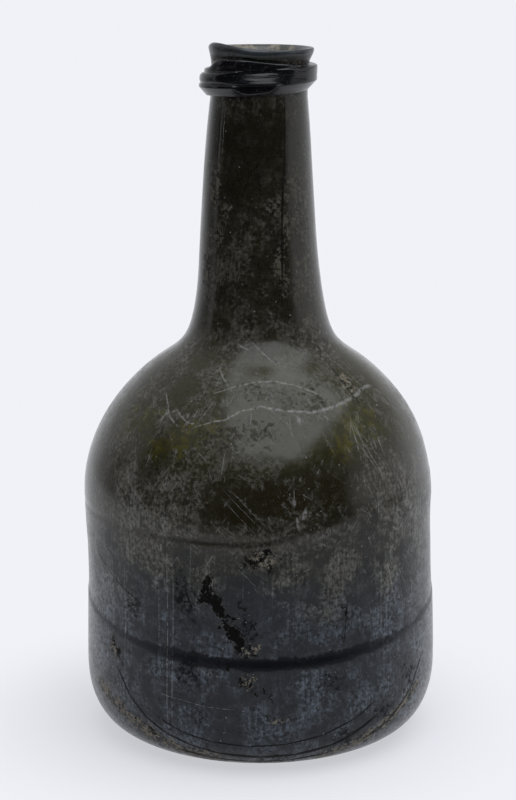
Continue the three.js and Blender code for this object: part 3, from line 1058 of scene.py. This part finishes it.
# Heights in millimetres over which one zone of the film passes into the next
BLUE_ENDS = (50, 72)
DOME_STARTS = (94, 106)
NECK_STARTS = (126, 138)


class Weather(Glass):
    """The noises, zones and patches that the vessel's layers share, each from 0 to 1."""

    def __init__(self, plan):
        super().__init__(plan)
        place, z = self.place, self.z
        self.cloud = plan.noise(place, size=15, detail=5, roughness=0.62, seed=2.0)
        self.patch = plan.noise(place, size=4.2, detail=5, roughness=0.68, seed=3.0)
        self.speck = plan.noise(place, size=1.2, detail=4, roughness=0.72, seed=4.0)
        drawn_up = plan.vectors("MULTIPLY", place, (1, 1, 0.05))
        upright = plan.noise(drawn_up, size=1.1, detail=4, roughness=0.7, seed=8.0)
        self.torn, self.ragged, self.loose, self.slight = self.frayed(2.3, (8.5, 9.5, 26.0, 0.5))

        drift = (self.cloud - 0.5) * 50
        self.seam = seam_level(plan, self.bearing)
        self.low = 1 - plan.step(z + drift * 0.4, self.seam - 8, self.seam + 2)
        self.blue = 1 - plan.step(z + drift, *BLUE_ENDS)
        self.neck = plan.step(z + drift * 0.5, *NECK_STARTS)
        self.dome = plan.step(z + drift * 0.5, *DOME_STARTS) * (1 - self.neck)
        self.upper = (1 - self.low) * (1 - self.dome) * (1 - self.neck)
        self.lip = plan.step(z, LIP_FOOT, LIP_FOOT + 2)
        # The lip's rounded top edge: thinner film, and a pale blue painted reflection in the glass's tint
        self.edge = plan.step(z, LIP_FOOT + 4.4, LIP_FOOT + 5.6)

        self.windows = self.blots(WINDOWS, self.loose, soft=0.6)
        self.windows = self.windows * (0.5 + plan.step(self.patch, 0.40, 0.50) * 0.5)
        self.veils = self.blots(VEILS, self.loose, soft=0.6)
        self.streaky = plan.step(upright, 0.48, 0.60)
        self.mottle = plan.step(self.patch * 0.6 + self.speck * 0.4, 0.46, 0.56)
        self.grains = plan.step(self.speck, 0.50, 0.64)
        self.cover = self.cloud * 0.45 + self.patch * 0.55


def glass_tint(g, c):
    """The colour of the glass itself, with painted olive light that comes through the thin shoulder,
    before anything lies on it.
    """
    plan = g.plan
    brown = plan.largest(g.upper, g.neck * (0.5 + g.windows * 0.5)) * 0.9
    tint = plan.mix(brown, c.glass, c.umber)
    # Olive on the dome and in its windows: painted light that comes through the thin shoulder
    tint = plan.mix(plan.largest(g.dome * 0.40, g.windows * g.dome), tint, c.olive)
    return plan.mix(g.blue * 0.8, tint, c.blue)


def film_shares(g):
    """How much of the glass the dull film covers, and how much of it is pale or stained."""
    plan, low, upper, dome, neck = g.plan, g.low, g.upper, g.dome, g.neck
    streaky, mottle, grains, cover = g.streaky, g.mottle, g.grains, g.cover
    bare = g.blots(BARE, g.loose, soft=0.75)
    stains = g.blots(STAINS, g.loose, soft=0.9)
    hazes = g.blots(HAZES, g.loose, soft=0.8)
    flank = plan.step(abs(g.bearing - math.radians(6)), math.radians(16), math.radians(44))
    left = plan.step(-g.bearing, math.radians(8), math.radians(34))
    dull = (
        low * (0.27 + plan.step(cover + streaky * 0.04, 0.44, 0.56) * 0.50)
        + upper * (0.16 + flank * 0.30 + left * 0.34 + plan.step(cover, 0.44, 0.56) * 0.3)
        + dome * (0.14 + left * 0.30 + plan.step(cover, 0.42, 0.58) * 0.52)
        + neck * (0.22 + plan.step(cover, 0.44, 0.56) * 0.46)
    )
    dull = dull * (1 - plan.largest(bare * 0.75, g.windows * 0.85))
    pale = (
        low * (streaky * 0.32 + mottle * 0.20 + grains * 0.52) * (0.75 + flank * 0.25)
        + upper * (streaky * 0.34 * plan.largest(flank, left) + mottle * 0.20 + grains * 0.34)
        + dome * (mottle * 0.16 + grains * 0.30)
        + neck * (streaky * 0.16 + mottle * 0.08 + grains * 0.34)
    )
    thin = 1 - plan.largest(bare * 0.7, g.windows * 0.85)
    pale = pale * (0.2 + plan.step(g.cloud, 0.44, 0.56) * 1.35) * thin
    pale = pale + hazes * (0.06 + streaky * 0.24 + grains * 0.26 + mottle * 0.10)
    pale = pale * (1 - stains * 0.85) * (1 - g.lip * 0.7)
    shade = low * (1 - plan.step(cover, 0.44, 0.53)) * 0.58
    pores = 1 - plan.step(g.speck, 0.38, 0.49)
    dark = plan.largest(stains, shade, pores * 0.75)
    lip_film = g.lip * 0.94 * (1 - g.edge * 0.8)
    dull = plan.largest(dull, g.veils * 0.9, dark * low, lip_film, pale * 0.9)
    return dull, pale, dark


# Sets of hairlines: how far they lean in degrees, then their width and reach in millimetres
HAIRS = ((3, 0.6, 18), (-26, 0.55, 14), (34, 0.55, 12), (-57, 0.5, 8))


def scratches(g):
    """Hairlines, drawn scratches and small white chips."""
    plan = g.plan
    hairs = plan.largest(*[plan.step(g.helix(*hair), 0.64, 0.74) for hair in HAIRS])
    rubbed = plan.step(g.patch, 0.46, 0.62) * (1 - plan.step(abs(g.z - 94), 20, 42))
    worn = g.blots(WORN, g.slight, soft=0.6) * plan.step(g.speck, 0.36, 0.56)
    white = plan.step(plan.noise(g.place, size=0.9, detail=0, seed=12.0), 0.83, 0.87)
    return plan.largest(hairs * rubbed * 0.45, worn * 0.50, white * 0.55)


def flaking(g):
    """Places flaked down to the dark glass, places under crust, and the grains of the crust."""
    plan = g.plan
    flaked = g.blots(FLAKES, g.torn, soft=0.4)
    flakes = plan.step(flaked, 0.42, 0.56) * plan.step(g.speck, 0.36, 0.40)
    crusted = plan.step(g.blots(CRUSTS, g.ragged, soft=0.8), 0.04, 0.5)
    edging = plan.step(flaked, 0.02, 0.2) * 0.45
    grains = plan.step(g.speck * 0.7 + g.patch * 0.3, 0.47, 0.54) * (0.9 - g.neck * 0.4)
    return flakes, crusted, plan.largest(crusted, edging) * grains


def gathered_band(g):
    """The dark tilted band, which is thickest in front."""
    plan = g.plan
    facing = plan.maths("COSINE", g.bearing - math.radians(4))
    thick = 0.35 + plan.step(facing, 0.55, 0.97) * 0.65
    off = abs(g.z - band_level(plan, g.bearing) + (g.patch - 0.5) * 4.0 + (g.speck - 0.5) * 2.0)
    return (1 - plan.step(off, thick * 1.9 - 0.2, thick * 1.9 + 0.7)) * (0.35 + thick * 0.6)


def dark_lines(g):
    """Fine cracks in the film and the seam under the shoulder, which fades to both sides."""
    plan = g.plan
    off = abs(g.z - g.seam + (g.cloud - 0.5) * 3)
    fading = 1 - plan.step(abs(g.bearing), math.radians(20), math.radians(60)) * 0.75
    seam_line = (1 - plan.step(off, 0, 1.5)) * plan.step(g.patch, 0.38, 0.56) * fading
    return plan.largest(g.blots(CRACKS, g.slight, soft=0.45), seam_line * 0.6)


def soiled_mouth(g):
    """A light tan on the back of the mouth's inside."""
    plan = g.plan
    inner = plan.step(g.z, 200, 206) * (1 - plan.step(g.radius, 15.2, 15.9))
    behind = plan.step(-plan.maths("COSINE", g.bearing), 0.1, 0.8)
    return inner * behind * (0.35 + g.mottle * 0.6)


def weathered_glass(plan, c):
    """Dark glass under a film that the ground has left, worn, scratched and flaked."""
    g = Weather(plan)
    tint = glass_tint(g, c)
    dull, pale, dark = film_shares(g)
    worn = scratches(g)
    flakes, crusted, crust = flaking(g)
    band = gathered_band(g)
    cracks = dark_lines(g)
    # A light tan on the inside of the mouth's back
    tan_back = soiled_mouth(g)
    # A brown line along the bottom edge: painted light that shows through the glass at its foot, in the
    # crust's colour
    foot = (1 - plan.step(g.z, 1.0, 3.4)) * 0.5

    pale_skin = plan.mix(g.blue, c.haze, c.low_haze)
    skin = plan.mix(g.lip, plan.mix(g.blue, c.film, c.low_film), c.lip)
    skin = plan.mix(pale, skin, pale_skin)
    skin = plan.mix(dark, skin, c.stain)
    skin = plan.mix(crusted * 0.7, skin, c.stain)
    # The crust's colour on the crust grains, on the painted light at the foot and on the tan inside the
    # mouth's back
    skin = plan.mix(plan.largest(crust, foot, tan_back), skin, c.crust)
    skin = plan.mix(worn, skin, c.worn)
    skin = plan.mix(band, skin, c.stain)
    skin = plan.mix(plan.largest(flakes, cracks * 0.9), skin, c.pit)

    tint = plan.mix(pale * 0.16, tint, pale_skin)
    # Scratches in the glass's colour, and a pale blue painted reflection along the lip's top edge
    tint = plan.mix(worn, plan.mix(g.edge * 0.35, tint, c.low_haze), c.worn)
    tint = plan.mix(cracks * 0.9, tint, c.pit)

    clean = 1 - plan.step(cracks, 0.1, 0.7)
    covered = plan.largest(
        dull * clean, flakes, band * 0.92, crust, cracks * 0.95, crusted * 0.7, foot, tan_back
    )
    matt = plan.largest(g.veils * 0.95, (g.grains * 0.6 + g.mottle * 0.4) * g.dome * 0.6)
    sealed = 1 - plan.largest(flakes, cracks, g.lip * 0.4, band * 0.8)
    sealed = sealed * (1 - plan.largest(plan.largest(dark * g.low, crusted) * 0.9, matt))

    grain = g.cloud * 0.4 + g.patch * 0.3 + g.speck * 0.22
    normal = plan.relief(grain, strength=0.35, distance=0.25 * MM)
    gloss_rough = 0.13 + plan.step(g.cover, 0.44, 0.58) * 0.17 + pale * 0.3
    glass = plan.bare_glass(tint, gloss_rough, index=1.45, normal=normal)
    film = plan.wire(
        "ShaderNodeBsdfPrincipled",
        None,
        {
            "Base Color": skin,
            "Roughness": 0.6,
            "Specular IOR Level": 0.08,
            "Coat Weight": sealed,
            "Coat Roughness": 0.2,
            "Coat IOR": 1.32,
            "Normal": normal,
        },
    )
    return plan.blend(covered, glass, film)


def trail_glass(plan, c):
    """Fire-polished dark glass with streaks along the winding."""
    place = place_in_mm(plan)
    drawn_round = plan.vectors("MULTIPLY", place, (0.08, 0.08, 1))
    streaks = plan.noise(drawn_round, size=0.5, detail=3, seed=20.0)
    speck = plan.noise(place, size=1.1, detail=3, roughness=0.6, seed=22.0)
    dust = plan.step(speck, 0.56, 0.72)
    tone = plan.mix(dust * 0.14 + plan.step(streaks, 0.5, 0.8) * 0.10, c.trail, c.haze)
    white = plan.step(plan.noise(place, size=0.7, detail=0, seed=24.0), 0.82, 0.87)
    tone = plan.mix(white * 0.6, tone, c.worn)
    rough = 0.14 + dust * 0.16 + streaks * 0.1
    normal = plan.relief(streaks * 0.8 + speck * 0.3, strength=0.3, distance=0.12 * MM)
    return plan.bare_glass(tone, rough, index=1.42, normal=normal)


def torn_glass(plan, c):
    """Broken, dusty glass of the pontil scar."""
    speck = plan.noise(place_in_mm(plan), size=1.3, detail=4, roughness=0.65, seed=30.0)
    tone = plan.mix(plan.step(speck, 0.4, 0.65) * 0.5, c.umber, c.haze)
    normal = plan.relief(speck, strength=0.6, distance=0.3 * MM)
    return plan.bare_glass(tone, 0.35 + speck * 0.4, index=1.52, normal=normal)


def dress(piece, node):
    """Lets a piece ride and stand for its node."""
    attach(piece, BODY)
    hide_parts(node)


# Rows of faces along each span of a profile
VESSEL_ROWS = 11
SCAR_ROWS = 5

# The scar's ring: radii on the kick, and how far it stands down from there, in millimetres
SCAR_RADII = (13.5, 15.2, 16.9, 18.5)
SCAR_DROPS = (0.9, 2.0, 1.9, 0.8)


class BOTTLE_OT_vessel(bpy.types.Operator):
    """Blow the vessel: lip, neck, shoulder, body and pushed-in base in one wall"""

    bl_idname = "bottle.vessel"
    bl_label = "Blow the vessel"

    def execute(self, context):
        s = context.scene.bottle_sizes
        host = profile_curve("vessel_profile", vessel_spans(s), VESSEL_ROWS)
        values = {
            "ripple_size": 24 * MM,
            "seed": 5.0,
            "still_level": 3 * MM,
            "outer_radius": s.waist_radius - s.side_wall / 2,
            "material": new_material(weathered_glass, context.scene.glass_colours),
            **hand_values(s),
        }
        piece = grown(host, turned_tree(), s, values, "vessel_glass")
        dress(piece, "vessel")
        return {"FINISHED"}


class BOTTLE_OT_rim(bpy.types.Operator):
    """Wind the string rim round the neck and press it"""

    bl_idname = "bottle.rim"
    bl_label = "Wind the string rim"

    def execute(self, context):
        s = context.scene.bottle_sizes
        r = context.scene.rim_sizes
        host = placed("trail_host", bpy.data.meshes.new("trail_host"))
        foot = levels(s)[0] - r.drop
        climbs = [r.pitch * (turn - TRAIL_START) + share * r.width for turn, share, _ in TRAIL]
        values = {
            "foot": foot,
            "top": foot + max(climbs) + SEATED_ABOVE,
            "neck_radius": s.neck_top_radius,
            "lip_radius": s.lip_radius,
            "material": new_material(trail_glass, context.scene.glass_colours),
            **hand_values(s),
        }
        piece = grown(host, trail_tree(), r, values, "rim_glass")
        dress(piece, "string_rim")
        return {"FINISHED"}


class BOTTLE_OT_scar(bpy.types.Operator):
    """Leave the ring of torn glass under the kick"""

    bl_idname = "bottle.scar"
    bl_label = "Tear off the rod"

    def execute(self, context):
        s = context.scene.bottle_sizes
        seat = [kick_place(s, radius * MM) for radius in SCAR_RADII]
        free = [at(place.x, place.y - drop * MM) for place, drop in zip(seat, SCAR_DROPS)]
        ring = [*free, *reversed(seat), free[0]]
        spans = [straight(a, b) for a, b in zip(ring, ring[1:])]
        host = profile_curve("scar_profile", spans, SCAR_ROWS)
        values = {
            "ripple": 0.5 * MM,
            "ripple_size": 3 * MM,
            "seed": 9.0,
            "still_level": 0.0,
            "outer_radius": s.heel_radius,
            "band_depth": 0.0,
            "seam_depth": 0.0,
            "material": new_material(torn_glass, context.scene.glass_colours),
            **hand_values(s),
        }
        piece = grown(host, turned_tree(), s, values, "scar_glass")
        dress(piece, "pontil_scar")
        return {"FINISHED"}


HALVINGS = 30


def kick_place(s, radius):
    """The point of the kick's underside at a radius, found by halving."""
    span = kick_underside(s)
    low, high = 0.0, 1.0
    for _ in range(HALVINGS):
        middle = (low + high) / 2
        if on_span(span, middle).x < radius:
            low = middle
        else:
            high = middle
    return on_span(span, low)


def on_span(span, share):
    """The point of a cubic span at a share of its way."""
    rest = 1 - share
    return (
        span.start * rest ** 3
        + span.leave * (3 * rest * rest * share)
        + span.arrive * (3 * rest * share * share)
        + span.end * share ** 3
    )


# How bright the ceiling is beside the walls, and the rise of the view over which they meet
CEILING_SHADE = 0.5
CEILING_STARTS = (0.03, 0.42)


def world_surroundings(backdrop):
    """A pale room whose walls and ceiling get darker upward."""
    world = bpy.data.worlds.new("studio")
    world.use_nodes = True
    world.node_tree.nodes.clear()
    plan = Plan(world.node_tree)
    _, _, rise = plan.parts(plan.wire("ShaderNodeTexCoord"))
    ceiling = tuple(CEILING_SHADE * channel for channel in backdrop)
    walls = plan.mix(plan.step(rise, *CEILING_STARTS), tuple(backdrop), ceiling)
    background = plan.wire("ShaderNodeBackground", None, {"Color": walls, "Strength": 1.0})
    plan.node("ShaderNodeOutputWorld", None, {"Surface": background})
    bpy.context.scene.world = world


PAPER_COLOUR = (0.80, 0.81, 0.85, 1.0)
FLOOR_FRONT = -0.31
FLOOR_BACK = 2.0
FLOOR_SIDE = 0.6

# The contact shade on the floor, by distance from a point to the left of the axis
SHADOW_START = 0.052
SHADOW_END = 0.118
SHADOW_SHIFT = 0.005
SHADOW_DEPTH = 0.38


def table_paper(plan, backdrop):
    """A pale floor that fades into the backdrop away from the object."""
    x, y, _ = plan.parts(plan.wire("ShaderNodeTexCoord", output="Object"))
    aside = x + SHADOW_SHIFT
    away = plan.maths("SQRT", aside * aside + y * y)
    paths = plan.node("ShaderNodeLightPath")
    kinds = ("Camera", "Glossy", "Transmission")
    shown = plan.largest(*[Wire(plan, paths.outputs[f"Is {kind} Ray"]) for kind in kinds])
    paper = plan.wire("ShaderNodeBsdfDiffuse", None, {"Color": PAPER_COLOUR})
    far = plan.wire("ShaderNodeEmission", None, {"Color": (*backdrop, 1.0), "Strength": 1.0})
    fade = (1 - (1 - plan.step(away, SHADOW_START, SHADOW_END)) * SHADOW_DEPTH) * shown
    return plan.blend(fade, paper, far)


# Size of the dark screen, and the bearings in degrees of its upright edges
FLAG_RADIUS = 1.3
FLAG_LOW = -1.3
FLAG_HIGH = 1.05
FLAG_BEARINGS = range(-150, 130, 5)


def flag_cloth(plan, cloth_colour):
    """Dark cloth that is dense in front and thins out towards its edges, by bearing in degrees."""
    x, y, z = plan.parts(plan.wire("ShaderNodeTexCoord", output="Object"))
    side = plan.maths("ARCTAN2", x, -y) * (180 / math.pi)
    front = plan.between(side, (-93, -87), (56, 72))
    veil = plan.between(side, (-150, -101), (-99, -94)) * (1 - plan.step(z, 0.3, 0.5))
    below = plan.between(side, (-118, -92), (100, 125)) * (1 - plan.step(z, 0.0, 0.09))
    cloth = plan.wire("ShaderNodeBsdfDiffuse", None, {"Color": as_colour(cloth_colour)})
    clear = plan.wire("ShaderNodeBsdfTransparent")
    return plan.blend(plan.largest(front, veil * 0.8, below), clear, cloth)


def flag_mesh():
    """An upright dark screen that curves round in front of the object."""
    corners = []
    for bearing in map(math.radians, FLAG_BEARINGS):
        x, y = FLAG_RADIUS * math.sin(bearing), -FLAG_RADIUS * math.cos(bearing)
        corners += [(x, y, FLAG_LOW), (x, y, FLAG_HIGH)]
    faces = [(i, i + 1, i + 3, i + 2) for i in range(0, len(corners) - 2, 2)]
    mesh = bpy.data.meshes.new("flag")
    mesh.from_pydata(corners, [], faces)
    return mesh


SOFTBOX_PLACE = (0.22, -0.43, 1.0)
FILM_HEIGHT = 36.0


class BOTTLE_OT_stage(bpy.types.Operator):
    """Set up the table, the studio light and the camera"""

    bl_idname = "bottle.stage"
    bl_label = "Set up the stage"

    def execute(self, context):
        stage = context.scene.stage_settings
        world_surroundings(stage.backdrop)
        corners = [
            (-FLOOR_SIDE, FLOOR_FRONT, 0), (FLOOR_SIDE, FLOOR_FRONT, 0),
            (FLOOR_SIDE, FLOOR_BACK, 0), (-FLOOR_SIDE, FLOOR_BACK, 0),
        ]
        mesh = bpy.data.meshes.new("table")
        mesh.from_pydata(corners, [], [(0, 1, 2, 3)])
        mesh.materials.append(new_material(table_paper, stage.backdrop))
        placed("table", mesh)

        cloth = flag_mesh()
        cloth.materials.append(new_material(flag_cloth, stage.flag))
        flag = placed("flag", cloth)
        flag.visible_camera = False

        lamp = bpy.data.lights.new("softbox", "AREA")
        lamp.shape = "RECTANGLE"
        lamp.size = stage.softbox_width
        lamp.size_y = stage.softbox_depth
        lamp.energy = stage.softbox_level * math.pi * lamp.size * lamp.size_y
        lamp.color = stage.softbox_colour
        box = placed("softbox", lamp)
        box.location = SOFTBOX_PLACE
        box.rotation_euler = (0, 0, -stage.softbox_turn)
        box.visible_camera = False

        lens = bpy.data.cameras.new("camera")
        lens.sensor_fit = "VERTICAL"
        lens.sensor_height = FILM_HEIGHT
        lens.sensor_width = FILM_HEIGHT
        lens.lens = stage.focal
        camera = placed("camera", lens)
        camera.location = (stage.camera_side, -stage.distance, stage.camera_height)
        camera.rotation_euler = (math.pi / 2 - stage.tilt, 0, 0)
        context.scene.camera = camera
        context.scene.view_settings.view_transform = "Standard"
        return {"FINISHED"}


class BOTTLE_PT_panel(bpy.types.Panel):
    """The sidebar panel with one button for each piece"""

    bl_label = "Wine bottle"
    bl_idname = "BOTTLE_PT_panel"
    bl_space_type = "VIEW_3D"
    bl_region_type = "UI"
    bl_category = "Bottle"

    def draw(self, context):
        for operator in OPERATORS:
            self.layout.operator(operator.bl_idname)
        for name in SETTINGS:
            settings = getattr(context.scene, name)
            box = self.layout.box()
            for field in type(settings).__annotations__:
                box.prop(settings, field)


OPERATORS = (BOTTLE_OT_vessel, BOTTLE_OT_rim, BOTTLE_OT_scar, BOTTLE_OT_stage)
SETTINGS = {
    "bottle_sizes": BottleSizes,
    "rim_sizes": RimSizes,
    "glass_colours": GlassColours,
    "stage_settings": StageSettings,
}


def register():
    for kind in (*SETTINGS.values(), *OPERATORS, BOTTLE_PT_panel):
        bpy.utils.register_class(kind)
    for name, kind in SETTINGS.items():
        setattr(bpy.types.Scene, name, PointerProperty(type=kind))


def unregister():
    for name in SETTINGS:
        delattr(bpy.types.Scene, name)
    for kind in reversed((*SETTINGS.values(), *OPERATORS, BOTTLE_PT_panel)):
        bpy.utils.unregister_class(kind)


def main():
    register()
    bpy.ops.bottle.vessel()
    bpy.ops.bottle.rim()
    bpy.ops.bottle.scar()
    bpy.ops.bottle.stage()


if __name__ == "__main__":
    main()
